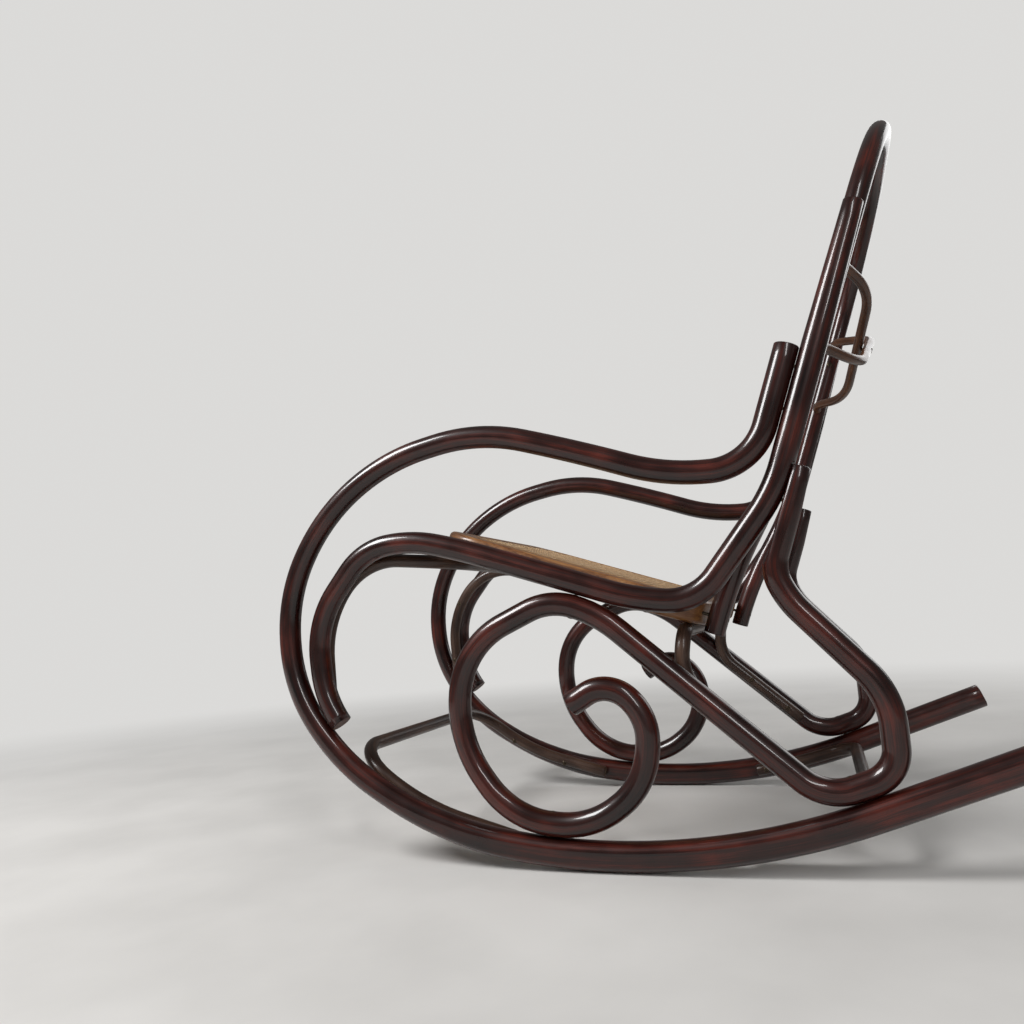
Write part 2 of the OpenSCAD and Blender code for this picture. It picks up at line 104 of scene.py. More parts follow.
def rounded(corners):
    """A bent stick's centre line: each corner is rounded as wide as its neighbours allow."""
    points = [Vector(corner[:3]) for corner in corners]
    last = len(points) - 1
    line = [points[0]]
    for i in range(1, last):
        back, ahead = points[i] - points[i - 1], points[i + 1] - points[i]
        turn = back.angle(ahead)
        reach = min(
            back.length * (END_SHARE if i == 1 else 0.5),
            ahead.length * (END_SHARE if i == last - 1 else 0.5),
        )
        if len(corners[i]) > 3:
            reach = min(reach, corners[i][3] * math.tan(turn / 2))
        radius = reach / math.tan(turn / 2)
        way = back.normalized()
        side = (ahead - way * ahead.dot(way)).normalized()
        start = points[i] - way * reach
        steps = math.ceil(max(turn / BEND_STEP, turn * radius / BEND_SPACING))
        for k in range(steps + 1):
            a = turn * k / steps
            line.append(start + side * radius * (1 - math.cos(a)) + way * radius * math.sin(a))
    return line + [points[last]]


def evened(line):
    """Drops points that nearly coincide and adds some along the straight stretches."""
    even = [line[0]]
    for point in line[1:]:
        gap = point - even[-1]
        if gap.length < NEAREST_RINGS:
            continue
        steps = math.ceil(gap.length / STRAIGHT_SPACING)
        even += [even[-1] + gap * (k / steps) for k in range(1, steps)] + [point]
    return even


def bend_stick(line, size_at, ends=1.2, sides=32):
    """Extrudes a circle along the line. size_at(point) gives the section in the side plane and
    across it, and ends how far the cut ends are eased. The attribute "straight" keeps each
    point's place in the stick before it was bent, in millimetres."""
    mesh = bmesh.new()
    grain = mesh.verts.layers.float_vector.new("straight")
    ring = bmesh.ops.create_circle(mesh, cap_ends=False, segments=sides, radius=1)["verts"]
    for v in ring:
        v[grain] = v.co
    first_ring, edges = ring, list(mesh.edges)

    line = evened(line)
    start_way, end_way = (line[1] - line[0]).normalized(), (line[-1] - line[-2]).normalized()
    # Distances from a cut end, with how much thinner the stick is there
    softening = [(0, ends), (ends * 0.3, ends * 0.45), (ends, 0)]
    stations = [(line[0] + start_way * s, start_way, cut) for s, cut in softening]
    for i in range(1, len(line) - 1):
        stations.append((line[i], (line[i + 1] - line[i - 1]).normalized(), 0))
    stations += [(line[-1] - end_way * s, end_way, cut) for s, cut in reversed(softening)]

    x_axis = Vector((1, 0, 0)).cross(start_way)
    if x_axis.length < NEARLY_SIDEWAYS:
        x_axis = Vector((0, 1, 0)).cross(start_way)
    along, before = 0, stations[0][0]
    for i, (centre, way, cut) in enumerate(stations):
        x_axis = (x_axis - way * x_axis.dot(way)).normalized()
        y_axis = way.cross(x_axis)
        along, before = along + (centre - before).length, centre
        if i:
            made = bmesh.ops.extrude_edge_only(mesh, edges=edges)["geom"]
            ring = [g for g in made if isinstance(g, bmesh.types.BMVert)]
            new = set(ring)
            edges = [g for g in made if isinstance(g, bmesh.types.BMEdge) and set(g.verts) <= new]
        deep, wide = size_at(centre)
        big = max(deep, wide) / 2
        for v in ring:
            turned = v[grain]
            x = max(-deep / 2, min(deep / 2, big * turned.x)) * (1 - cut / big)
            y = max(-wide / 2, min(wide / 2, big * turned.y)) * (1 - cut / big)
            v.co = centre + x_axis * x + y_axis * y
            v[grain] = (turned.x, turned.y, along)
    for f in mesh.faces:
        f.smooth = True
    for end in (first_ring, ring):
        cap = bmesh.ops.contextual_create(mesh, geom=end)["faces"]
        for f in cap:
            f.smooth = False
            f.material_index = 1
    bmesh.ops.recalc_face_normals(mesh, faces=mesh.faces)
    half = size_at(line[0])[0] / 2
    for v in mesh.verts:
        v[grain] = (v[grain].x * half, v[grain].y * half, v[grain].z)
    return mesh


def finished(name, mesh, materials, slot, *nodes):
    """Puts a stick into the resting chair, gives it its finishes and hands it to the frame."""
    bmesh.ops.transform(mesh, matrix=rest, verts=mesh.verts)
    data = bpy.data.meshes.new(name)
    mesh.to_mesh(data)
    mesh.free()
    piece = bpy.data.objects.new(name, data)
    bpy.context.scene.collection.objects.link(piece)
    for material in materials:
        data.materials.append(material)
    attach(piece, "root")
    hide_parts(*nodes)
    return piece


def linear(hex_colour):
    """An sRGB hex colour as the linear colour that shaders take."""
    channels = [int(hex_colour[i : i + 2], 16) / 255 for i in (1, 3, 5)]
    return [c / 12.92 if c <= 0.04045 else ((c + 0.055) / 1.055) ** 2.4 for c in channels] + [1]


def add(tree, kind, links=(), **settings):
    """Adds a node. Settings go to the node, and links to its sockets, as sockets or values."""
    made = tree.nodes.new(kind)
    for key, value in settings.items():
        setattr(made, key, value)
    for key, value in dict(links).items():
        if isinstance(value, bpy.types.NodeSocket):
            tree.links.new(value, made.inputs[key])
        else:
            made.inputs[key].default_value = value
    return made


def colours(ramp, stops):
    """Sets a ramp's stops from (place, hex colour) pairs."""
    elements = ramp.color_ramp.elements
    while len(elements) < len(stops):
        elements.new(0.5)
    for element, (place, hex_colour) in zip(elements, stops):
        element.position = place
        element.color = linear(hex_colour)


def bent_beech(name, deep, mid, lit, pore, roughness, coat, coat_roughness):
    """Steam-bent beech, stained and varnished. Fibres, growth bands and short pores follow the
    stick through its bends, and a smooth coat of varnish lies over them."""
    material = bpy.data.materials.new(name)
    material.use_nodes = True
    tree = material.node_tree
    shader = tree.nodes["Principled BSDF"]
    place = add(tree, "ShaderNodeAttribute", attribute_name="straight").outputs["Vector"]

    # fibres about 1.3 mm wide and 70 mm long
    fibre_at = add(tree, "ShaderNodeVectorMath", {0: place, 1: (1 / 1.3, 1 / 1.3, 1 / 70)},
                   operation="MULTIPLY").outputs[0]
    fibres = add(tree, "ShaderNodeTexNoise", {"Vector": fibre_at, "Scale": 1, "Detail": 4,
                                              "Roughness": 0.6, "Distortion": 0.15})
    # growth bands about 8 mm wide and 240 mm long
    band_at = add(tree, "ShaderNodeVectorMath", {0: place, 1: (1 / 8, 1 / 8, 1 / 240)},
                  operation="MULTIPLY").outputs[0]
    bands = add(tree, "ShaderNodeTexNoise", {"Vector": band_at, "Scale": 1, "Detail": 2,
                                             "Roughness": 0.5, "Distortion": 0.4})
    # beech pores, drawn 0.7 mm wide and 5 mm long, coarser than real ones so that they show
    pore_at = add(tree, "ShaderNodeVectorMath", {0: place, 1: (1 / 0.7, 1 / 0.7, 1 / 5)},
                  operation="MULTIPLY").outputs[0]
    pores = add(tree, "ShaderNodeTexVoronoi", {"Vector": pore_at, "Scale": 1, "Randomness": 1})
    dots = add(tree, "ShaderNodeMapRange", {"Value": pores.outputs["Distance"], "From Min": 0.1,
                                            "From Max": 0.34, "To Min": 1, "To Max": 0})
    # stain that took unevenly, in clouds about 30 mm across and 60 mm along the stick
    stain_at = add(tree, "ShaderNodeVectorMath", {0: place, 1: (1 / 30, 1 / 30, 1 / 60)},
                   operation="MULTIPLY").outputs[0]
    stain = add(tree, "ShaderNodeTexNoise", {"Vector": stain_at, "Scale": 1, "Detail": 2})

    both = add(tree, "ShaderNodeMath", {0: fibres.outputs["Fac"], 1: bands.outputs["Fac"]},
               operation="ADD")
    three = add(tree, "ShaderNodeMath", {0: both.outputs[0], 1: stain.outputs["Fac"]},
                operation="ADD")
    share = add(tree, "ShaderNodeMath", {0: three.outputs[0], 1: 1 / 3}, operation="MULTIPLY")
    ramp = add(tree, "ShaderNodeValToRGB", {"Fac": share.outputs[0]})
    colours(ramp, [(0.36, deep), (0.5, mid), (0.64, lit)])
    faint = add(tree, "ShaderNodeMath", {0: dots.outputs[0], 1: 0.45}, operation="MULTIPLY")
    wood = add(tree, "ShaderNodeMix", {"Factor": faint.outputs[0], "A": ramp.outputs["Color"],
                                       "B": linear(pore)}, data_type="RGBA")
    tree.links.new(wood.outputs["Result"], shader.inputs["Base Color"])
    rough = add(tree, "ShaderNodeMapRange", {"Value": stain.outputs["Fac"], "From Min": 0.3,
                                             "From Max": 0.7, "To Min": roughness * 0.8,
                                             "To Max": roughness * 1.25})
    tree.links.new(rough.outputs[0], shader.inputs["Roughness"])
    shader.inputs["IOR"].default_value = 1.5
    shader.inputs["Specular IOR Level"].default_value = 0.3
    shader.inputs["Coat Weight"].default_value = coat
    shader.inputs["Coat Roughness"].default_value = coat_roughness
    shader.inputs["Coat IOR"].default_value = 1.5
    relief = add(tree, "ShaderNodeBump", {"Height": share.outputs[0], "Strength": 0.25,
                                          "Distance": 0.0004})
    tree.links.new(relief.outputs[0], shader.inputs["Normal"])
    return material


def cut_end(name, heart, fleck, roughness):
    """The sawn end of a beech stick: rough, dull end grain that drank the stain, flecked paler
    where its cut fibres stand up."""
    material = bpy.data.materials.new(name)
    material.use_nodes = True
    tree = material.node_tree
    shader = tree.nodes["Principled BSDF"]
    place = add(tree, "ShaderNodeAttribute", attribute_name="straight").outputs["Vector"]
    # specks of the cut fibres, about 0.8 mm
    flat_place = add(tree, "ShaderNodeVectorMath", {0: place, 1: (1, 1, 0)}, operation="MULTIPLY")
    specks = add(tree, "ShaderNodeTexNoise", {"Vector": flat_place.outputs[0], "Scale": 1 / 0.8,
                                              "Detail": 3, "Roughness": 0.65})
    ramp = add(tree, "ShaderNodeValToRGB", {"Fac": specks.outputs["Fac"]})
    colours(ramp, [(0.35, heart), (0.7, fleck)])
    tree.links.new(ramp.outputs["Color"], shader.inputs["Base Color"])
    shader.inputs["Roughness"].default_value = roughness
    shader.inputs["IOR"].default_value = 1.5
    relief = add(tree, "ShaderNodeBump", {"Height": specks.outputs["Fac"], "Strength": 0.4,
                                          "Distance": 0.0004})
    tree.links.new(relief.outputs[0], shader.inputs["Normal"])
    return material


# Beech stained to a very dark mahogany under gloss varnish: nearly black in shade, red-brown
# where light falls on it, with crisp long highlights.
mahogany_stained_beech = bent_beech("mahogany_stained_beech", "#0D0302", "#2A0B06", "#561A0C",
                                    "#080202", 0.34, 0.6, 0.05)
dark_end_grain = cut_end("dark_beech_end_grain", "#1E0C08", "#6E3F28", 0.55)
frame_finish = (mahogany_stained_beech, dark_end_grain)

arm_profile = [
    on_back(ARM_END, -PAIR), on_back(25, -PAIR),
    (75, 512), (-60, 555), (-195, 590), (-345, 555), (-450, 475), (-510, 355),
    (-495, 215), (-405, 110), (-290, 52),
    on_runner(RUNNER_FROM, along=-40), on_runner(RUNNER_FROM),
]


def rocker_size(point):
    """Round in the arm and the bow, deeper and flat-sided in the runner."""
    grown = 0 if point.z > 200 else max(0, min(1, (point.y - TAPER_FROM) / TAPER_LENGTH))
    return (STICK_D + (RUNNER_DEPTH - STICK_D) * grown, STICK_D + (RUNNER_WIDTH - STICK_D) * grown)


for side, hand in ((1, "left"), (-1, "right")):
    line = rounded(at_x(side * SIDE_X, arm_profile))
    line += [Vector((side * SIDE_X, *on_runner(a))) for a in range(RUNNER_FROM + 1, RUNNER_TO + 1)]
    line.append(Vector((side * SIDE_X, *on_runner(RUNNER_TO, along=RUNNER_TAIL))))
    stick = bend_stick(line, rocker_size)
    finished(f"{hand}_arm_and_runner", stick, frame_finish, "dark_wood", f"{hand}_arm_rocker")

# ---- Seat posts ----
# One stick a side makes the front curl, the seat rail and the back post, which thins to its
# cut top end. The curl is screwed against the front bow, and the arm against the post.

POST_LENGTH = 380
POST_TOP_D = 25
CURL_END = 22
BOW_FROM, BOW_TO = Vector((-495, 215)), Vector((-405, 110))
bow_way = (BOW_TO - BOW_FROM).normalized()
bow_in = Vector((-bow_way.y, bow_way.x))
curl_contact = (BOW_TO - BOW_FROM).length / 2
CURL_LIFT = 1.5
LEG_FLAT = 12.5
FLAT_FROM, FLAT_TO = -70, 40
RAIL_FRONT = Vector((-220, 420))
RAIL_REAR = Vector((30, 350))


def on_bow(along):
    """A point of the side profile beside the straight stretch of the front bow."""
    return tuple(BOW_FROM + bow_way * along + bow_in * (PAIR + CURL_LIFT))


def up_back(point):
    """How far a point stands up the back's line."""
    return (Vector((point.y, point.z)) - POST_FOOT).dot(BACK_UP)


def flatten(mesh, lowest, highest, plane, keep_behind):
    """Planes a flat on a stick, parallel to the back's line, where another stick lies on it."""
    for v in mesh.verts:
        across = Vector((v.co.y, v.co.z)) - POST_FOOT
        out = across.dot(BACK_OUT)
        if lowest < across.dot(BACK_UP) < highest and (out < plane) == keep_behind:
            v.co.y += BACK_OUT.x * (plane - out)
            v.co.z += BACK_OUT.y * (plane - out)


def post_size(point):
    """Even up to the arm's end, then thinning to the top."""
    up = up_back(point) if point.y > POST_FOOT.x else 0
    thinned = max(0, up - ARM_END - 10) / (POST_LENGTH - ARM_END - 10)
    return (STICK_D + (POST_TOP_D - STICK_D) * thinned,) * 2


post_profile = [
    on_bow(curl_contact + CURL_END), on_bow(curl_contact - CURL_END),
    (-458, 315), (-380, 422), (-300, 436), tuple(RAIL_FRONT), tuple(RAIL_REAR), (110, 347),
    (*on_back(0), 330), on_back(FLAT_TO - 1),
]

for side, hand in ((1, "left"), (-1, "right")):
    x = side * SIDE_X
    line = rounded(at_x(x, post_profile))
    # Rings close together at the flat's shoulder keep it square
    line += [Vector((x, *on_back(up))) for up in (FLAT_TO + 0.6, FLAT_TO + 20, ARM_END + 10,
                                                  POST_LENGTH)]
    stick = bend_stick(line, post_size)
    flatten(stick, FLAT_FROM, FLAT_TO, LEG_FLAT, False)
    finished(f"{hand}_post_and_rail", stick, frame_finish, "dark_wood", f"{hand}_seat_post")

# ---- Leg scrolls ----
# One stick a side runs from behind the post round the rear loop, up to the seat rail, round
# the front scroll and into its eye. Its top end is planed flat and screwed to the post.

LEG_TOP_D = 26
LEG_OFFSET = 22
LEG_TOP = 38
ON_RUNNER = 35.3
LEG_CONTACT, SCROLL_CONTACT, RAIL_CONTACT = 23, -1, 180
RAIL_WAY = (RAIL_REAR - RAIL_FRONT).normalized()
RAIL_UP = Vector((-RAIL_WAY.y, RAIL_WAY.x))


def on_rail(along, up=0):
    """A point of the side profile, along the seat rail and above it."""
    return tuple(RAIL_FRONT + RAIL_WAY * along + RAIL_UP * up)


def leg_size(point):
    """Thinner towards the top end behind the post."""
    up = up_back(point) if point.y > 150 else -200
    thinned = max(0, (up + 25) / (LEG_TOP + 25))
    return (STICK_D + (LEG_TOP_D - STICK_D) * thinned,) * 2


leg_profile = [
    on_back(-25, LEG_OFFSET), on_back(-95, LEG_OFFSET), (220, 350), (330, 240), (335, 165),
    on_runner(LEG_CONTACT, ON_RUNNER, 35), on_runner(LEG_CONTACT, ON_RUNNER, -35),
    on_rail(RAIL_CONTACT + 35, -PAIR), on_rail(RAIL_CONTACT - 35, -PAIR),
    (-215, 285), (-225, 155),
    on_runner(SCROLL_CONTACT, ON_RUNNER, -55), on_runner(SCROLL_CONTACT, ON_RUNNER, 55),
    (40, 115), (45, 200), (-10, 245), (-60, 210),
]

for side, hand in ((1, "left"), (-1, "right")):
    x = side * SIDE_X
    line = [Vector((x, *on_back(LEG_TOP, LEG_OFFSET)))] + rounded(at_x(x, leg_profile))
    stick = bend_stick(line, leg_size)
    flatten(stick, FLAT_FROM - 20, FLAT_TO + 10, LEG_FLAT + 0.3, True)
    finished(f"{hand}_leg_and_scroll", stick, frame_finish, "dark_wood", f"{hand}_leg_scroll")

# ---- Back hoop ----
# A single stick bent to a tall arch. It stands inside the posts, screwed through them, and
# its feet come in behind the seat ring, which they are screwed to.

HOOP_D = 28
INNER_X = 248.7  # inner face of the side frames, with its gap
HOOP_X = INNER_X - HOOP_D / 2
HOOP_FOOT_X = 205
RING_LENGTH = 405
SEATED = 0.3  # left between two sticks that are screwed together
HOOP_FOOT_Y = RING_LENGTH / 2 + HOOP_D / 2 + SEATED
SEAT_MIDDLE = 145
HOOP_TOP = 572
HOOP_BEND = 205


def by_seat(x, along, up):
    """A point measured down the seat's slope and above it."""
    return (x, *on_rail(SEAT_MIDDLE + along, up))


def both_hands(corners):
    """A stick's corners on the left, continued as their mirror image on the right."""
    return corners + [(-c[0], *c[1:]) for c in reversed(corners)]


hoop_corners = both_hands([
    by_seat(HOOP_FOOT_X, HOOP_FOOT_Y, -19), by_seat(HOOP_FOOT_X, HOOP_FOOT_Y, 56),
    (HOOP_X, *on_back(30)), (HOOP_X, *on_back(HOOP_TOP), HOOP_BEND),
])
stick = bend_stick(rounded(hoop_corners), lambda point: (HOOP_D, HOOP_D))
finished("back_arch", stick, frame_finish, "dark_wood", "back_hoop")

# ---- Crossed rods ----
# Two thin rods bowed to the rear cross in the middle of the back and are let into the hoop.
# They were left a paler brown, with a satin varnish, and one screw holds them together.

ROD_D = 14
ROD_BEND = 60
ROD_LET_IN = 7.8
ROD_TIP = HOOP_X - HOOP_D / 2 + ROD_LET_IN
ROD_UPPER, ROD_LOWER = 330, 215
ROD_BULGE = 44
rod_beech = bent_beech("brown_stained_beech", "#2C180F", "#4E2F1D", "#71492D", "#1A0E09",
                       0.36, 0.45, 0.16)
rod_end_grain = cut_end("brown_beech_end_grain", "#3A2416", "#7A5638", 0.6)

for hand, side, bulge in (("left", 1, ROD_BULGE), ("right", -1, ROD_BULGE + ROD_D + SEATED)):
    rod_corners = [
        (side * ROD_TIP, *on_back(ROD_UPPER)),
        (side * (ROD_TIP - 45), *on_back(ROD_UPPER), ROD_BEND),
        (side * 110, *on_back(ROD_UPPER - 5, bulge)),
        (-side * 110, *on_back(ROD_LOWER + 5, bulge)),
        (-side * (ROD_TIP - 45), *on_back(ROD_LOWER), ROD_BEND),
        (-side * ROD_TIP, *on_back(ROD_LOWER)),
    ]
    stick = bend_stick(rounded(rod_corners), lambda point: (ROD_D, ROD_D), ends=0.5, sides=24)
    finished(f"{hand}_crossed_rod", stick, (rod_beech, rod_end_grain), "rod_wood",
             f"{hand}_back_bow")

# ---- Stretchers ----
# Four thinner sticks, each bent to a shallow U. Their arms lie inside the side frames and are
# screwed to them, and their bars tie the two sides together under the seat and at the floor.

BAR_D = 20
ARM_X = INNER_X - BAR_D / 2
RUNNER_ARM_X = SIDE_X - RUNNER_WIDTH / 2 - SEATED - BAR_D / 2
BAR_CORNER = 60
RING_DROP = 13  # the seat ring's underside, below the rail's centre line
UNDER_SEAT = RING_DROP + BAR_D / 2 + SEATED
bar_beech = bent_beech("worn_stretcher_beech", "#1E120D", "#39261D", "#5A4336", "#140C09",
                       0.4, 0.3, 0.2)
bar_end_grain = cut_end("worn_stretcher_end_grain", "#3C2C22", "#7D6552", 0.65)

diagonal_from = Vector(on_runner(LEG_CONTACT, ON_RUNNER, -35))
diagonal_to = Vector(on_rail(RAIL_CONTACT + 35, -PAIR))
stretcher_arms = {
    "front_seat_stretcher": at_x(ARM_X, [(-446, 203), (-458, 315), (-392, 410)])
    + [(*by_seat(ARM_X, -170, -UNDER_SEAT), BAR_CORNER)],
    "rear_seat_stretcher": at_x(ARM_X, [tuple(diagonal_from.lerp(diagonal_to, t))
                                        for t in (0.12, 0.62)])
    + [(*by_seat(ARM_X, 180, -UNDER_SEAT), BAR_CORNER)],
    "front_runner_stretcher": at_x(RUNNER_ARM_X, [on_runner(-4), (-290, 54), (-402, 126, 90)]),
    "rear_runner_stretcher": at_x(RUNNER_ARM_X, [on_runner(13), on_runner(18),
                                                 (*on_runner(23.5), 80)]),
}
for node, arm in stretcher_arms.items():
    stick = bend_stick(rounded(both_hands(arm)), lambda point: (BAR_D, BAR_D), sides=28)
    finished(f"{node}_stick", stick, (bar_beech, bar_end_grain), "stretcher_wood", node)

# ---- Seat ring ----
# A flat beech board bent to a rounded square, with softened edges. A shallow rebate round the
# opening takes the cane's edge, and a groove takes the spline. Screwed between the posts.

RING_THICKNESS = 34
RING_CORNER = 75
OPENING_W, OPENING_L, OPENING_CORNER = 405.4, 313, 50
LIP = 9
GROOVE = 5.4
REBATE = 2.5
GROOVE_DEPTH = 7.2
SHEET_W, SHEET_L = OPENING_W + 2 * LIP, OPENING_L + 2 * LIP
CORNER_STEPS = 16
MEAN_RADIUS = 215
MM_PER_M = 1000
OUTER_SOFTNESS, OPENING_SOFTNESS = 7, 3

seat = rest @ Matrix.Translation(by_seat(0, 0, -RING_DROP)) @ Matrix.Rotation(
    math.atan2(RAIL_WAY.y, RAIL_WAY.x), 4, "X"
)


def outline(mesh, width, length, radius, height):
    """The closed edge of a rounded rectangle at a height, from a square with rounded corners."""
    corners = bmesh.ops.create_grid(mesh, x_segments=1, y_segments=1, size=0.5)["verts"]
    bmesh.ops.scale(mesh, vec=(width, length, 1), verts=corners)
    bmesh.ops.translate(mesh, vec=(0, 0, height), verts=corners)
    bmesh.ops.bevel(mesh, geom=corners, affect="VERTICES", offset=radius,
                    offset_type="OFFSET", segments=CORNER_STEPS, profile=0.5, material=-1)
    face = next(f for f in mesh.faces if len(f.verts) > 4 * CORNER_STEPS)
    edges = list(face.edges)
    bmesh.ops.delete(mesh, geom=[face], context="FACES_ONLY")
    return edges


def bridged_ring(outlines):
    """A closed ring through a row of (width, length, corner radius, height) outlines."""
    mesh = bmesh.new()
    loops = [outline(mesh, *each) for each in outlines]
    for here, there in zip(loops, loops[1:] + loops[:1]):
        bmesh.ops.bridge_loops(mesh, edges=here + there)
    bmesh.ops.recalc_face_normals(mesh, faces=mesh.faces)
    for f in mesh.faces:
        f.smooth = True
    return mesh, loops


def set_on_seat(name, mesh, material, node):
    """Lays a piece on the sloping seat, gives it its finish and hands it to the frame."""
    bmesh.ops.transform(mesh, matrix=seat, verts=mesh.verts)
    data = bpy.data.meshes.new(name)
    mesh.to_mesh(data)
    mesh.free()
    piece = bpy.data.objects.new(name, data)
    bpy.context.scene.collection.objects.link(piece)
    data.materials.append(material)
    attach(piece, "root")
    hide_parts(node)
    return piece


def seat_beech(name, deep, mid, lit, roughness, coat):
    """Bent beech stained mid brown with satin varnish. The grain runs round the ring, so it is
    drawn in rings about the seat's middle: 1.5 mm fibres, 90 mm long."""
    material = bpy.data.materials.new(name)
    material.use_nodes = True
    tree = material.node_tree
    shader = tree.nodes["Principled BSDF"]
    place = add(tree, "ShaderNodeTexCoord").outputs["Object"]
    inward = seat.inverted()
    level = add(tree, "ShaderNodeMapping", {
        "Vector": place, "Location": inward.translation, "Rotation": inward.to_euler(),
        "Scale": (MM_PER_M, MM_PER_M, MM_PER_M)})
    parts = add(tree, "ShaderNodeSeparateXYZ", {"Vector": level.outputs[0]})
    swing = add(tree, "ShaderNodeMath", {0: parts.outputs["X"], 1: parts.outputs["Y"]},
                operation="ARCTAN2")
    far = add(tree, "ShaderNodeVectorMath", {0: level.outputs[0]}, operation="LENGTH")
    around = add(tree, "ShaderNodeMath", {0: swing.outputs[0], 1: MEAN_RADIUS / 90},
                 operation="MULTIPLY")
    out = add(tree, "ShaderNodeMath", {0: far.outputs["Value"], 1: 1 / 1.5}, operation="MULTIPLY")
    up = add(tree, "ShaderNodeMath", {0: parts.outputs["Z"], 1: 1 / 1.5}, operation="MULTIPLY")
    grain_at = add(tree, "ShaderNodeCombineXYZ", {"X": around.outputs[0], "Y": out.outputs[0],
                                                  "Z": up.outputs[0]})
    fibres = add(tree, "ShaderNodeTexNoise", {"Vector": grain_at.outputs[0], "Scale": 1,
                                              "Detail": 4, "Roughness": 0.6, "Distortion": 0.3})
    bands_at = add(tree, "ShaderNodeVectorMath", {0: grain_at.outputs[0], 1: (0.4, 0.14, 0.14)},
                   operation="MULTIPLY")
    bands = add(tree, "ShaderNodeTexNoise", {"Vector": bands_at.outputs[0], "Scale": 1,
                                             "Detail": 2, "Distortion": 0.6})
    both = add(tree, "ShaderNodeMath", {0: fibres.outputs["Fac"], 1: bands.outputs["Fac"]},
               operation="ADD")
    share = add(tree, "ShaderNodeMath", {0: both.outputs[0], 1: 0.5}, operation="MULTIPLY")
    ramp = add(tree, "ShaderNodeValToRGB", {"Fac": share.outputs[0]})
    colours(ramp, [(0.34, deep), (0.5, mid), (0.66, lit)])
    tree.links.new(ramp.outputs["Color"], shader.inputs["Base Color"])
    rough = add(tree, "ShaderNodeMapRange", {"Value": bands.outputs["Fac"], "From Min": 0.3,
                                             "From Max": 0.7, "To Min": roughness * 0.85,
                                             "To Max": roughness * 1.2})
    tree.links.new(rough.outputs[0], shader.inputs["Roughness"])
    shader.inputs["IOR"].default_value = 1.5
    shader.inputs["Coat Weight"].default_value = coat
    shader.inputs["Coat Roughness"].default_value = 0.2
    relief = add(tree, "ShaderNodeBump", {"Height": share.outputs[0], "Strength": 0.25,
                                          "Distance": 0.0004})
    tree.links.new(relief.outputs[0], shader.inputs["Normal"])
    return material


ring_w = 2 * INNER_X
groove_w, groove_l = SHEET_W + 2 * GROOVE, SHEET_L + 2 * GROOVE
sheet_corner = OPENING_CORNER + LIP
mesh, loops = bridged_ring([
    (ring_w, RING_LENGTH, RING_CORNER, 0),
    (ring_w, RING_LENGTH, RING_CORNER, RING_THICKNESS),
    (groove_w, groove_l, sheet_corner + GROOVE, RING_THICKNESS),
    (groove_w, groove_l, sheet_corner + GROOVE, RING_THICKNESS - GROOVE_DEPTH),
    (SHEET_W, SHEET_L, sheet_corner, RING_THICKNESS - GROOVE_DEPTH),
    (SHEET_W, SHEET_L, sheet_corner, RING_THICKNESS - REBATE),
    (OPENING_W, OPENING_L, OPENING_CORNER, RING_THICKNESS - REBATE),
    (OPENING_W, OPENING_L, OPENING_CORNER, 0),
])
for edge_loops, softness in ((loops[0] + loops[1], OUTER_SOFTNESS),
                             (loops[6] + loops[7], OPENING_SOFTNESS)):
    bmesh.ops.bevel(mesh, geom=[e for e in edge_loops if e.is_valid], affect="EDGES",
                    offset=softness, offset_type="OFFSET", segments=4, profile=0.5, material=-1)
ring = set_on_seat(
    "seat_ring", mesh, seat_beech("seat_ring_beech", "#4E2E1A", "#80532F", "#A57646", 0.4, 0.35),
    "seat_frame")
sharp = ring.modifiers.new("flats_stay_flat", "WEIGHTED_NORMAL")
sharp.keep_sharp = True

# ---- Spline ----
# A strip of split reed, round on top, hammered and glued into the groove over the cane's edge.

FIT = 0.2
SPLINE_W = 5
mesh, loops = bridged_ring([
    (SHEET_W + 2 * (FIT + inset), SHEET_L + 2 * (FIT + inset), sheet_corner + FIT + inset,
     RING_THICKNESS + height)
    for inset, height in ((0, -6.9), (0, -0.8), (0.6, -0.1), (1.6, 0.45), (SPLINE_W / 2, 0.65),
                          (3.4, 0.45), (4.4, -0.1), (SPLINE_W, -0.8), (SPLINE_W, -6.9))
])
set_on_seat("cane_spline", mesh,
            seat_beech("split_reed", "#6B4727", "#946A3E", "#B48A58", 0.45, 0.25),
            "seat_spline")

# ---- Woven cane ----
# Strands of split rattan, 2.4 mm wide, in the common six-way weave: pairs across, pairs from
# front to rear, and single diagonals that pass over one pair and under the other.

PITCH = 12.7
STRAND_W = 2.4
STRAND_T = 0.5
PAIR_GAP = 1.45
OVER, UNDER = 0.85, 0.28  # how far the two slants rise over the pairs they pass
PAIR_LIFT = 0.29  # the pairs across lie this far above the cane's middle, the others below it
CANE_LEVEL = RING_THICKNESS - 1.25
CANE_EASE = 0.4
CANE_CORNER = sheet_corner - CANE_EASE
TONE_STEP_X, TONE_STEP_Y = 7.3, 3.1  # sets neighbouring strands' tones apart
SHEET_REACH = 400
HALVINGS = 16
SHIFTS = 40


def inside(x, y):
    """How far a point lies inside the sheet's rounded edge, negative outside."""
    over_x = max(0, abs(x) - (SHEET_W / 2 - CANE_EASE - CANE_CORNER))
    over_y = max(0, abs(y) - (SHEET_L / 2 - CANE_EASE - CANE_CORNER))
    return CANE_CORNER - math.hypot(over_x, over_y)


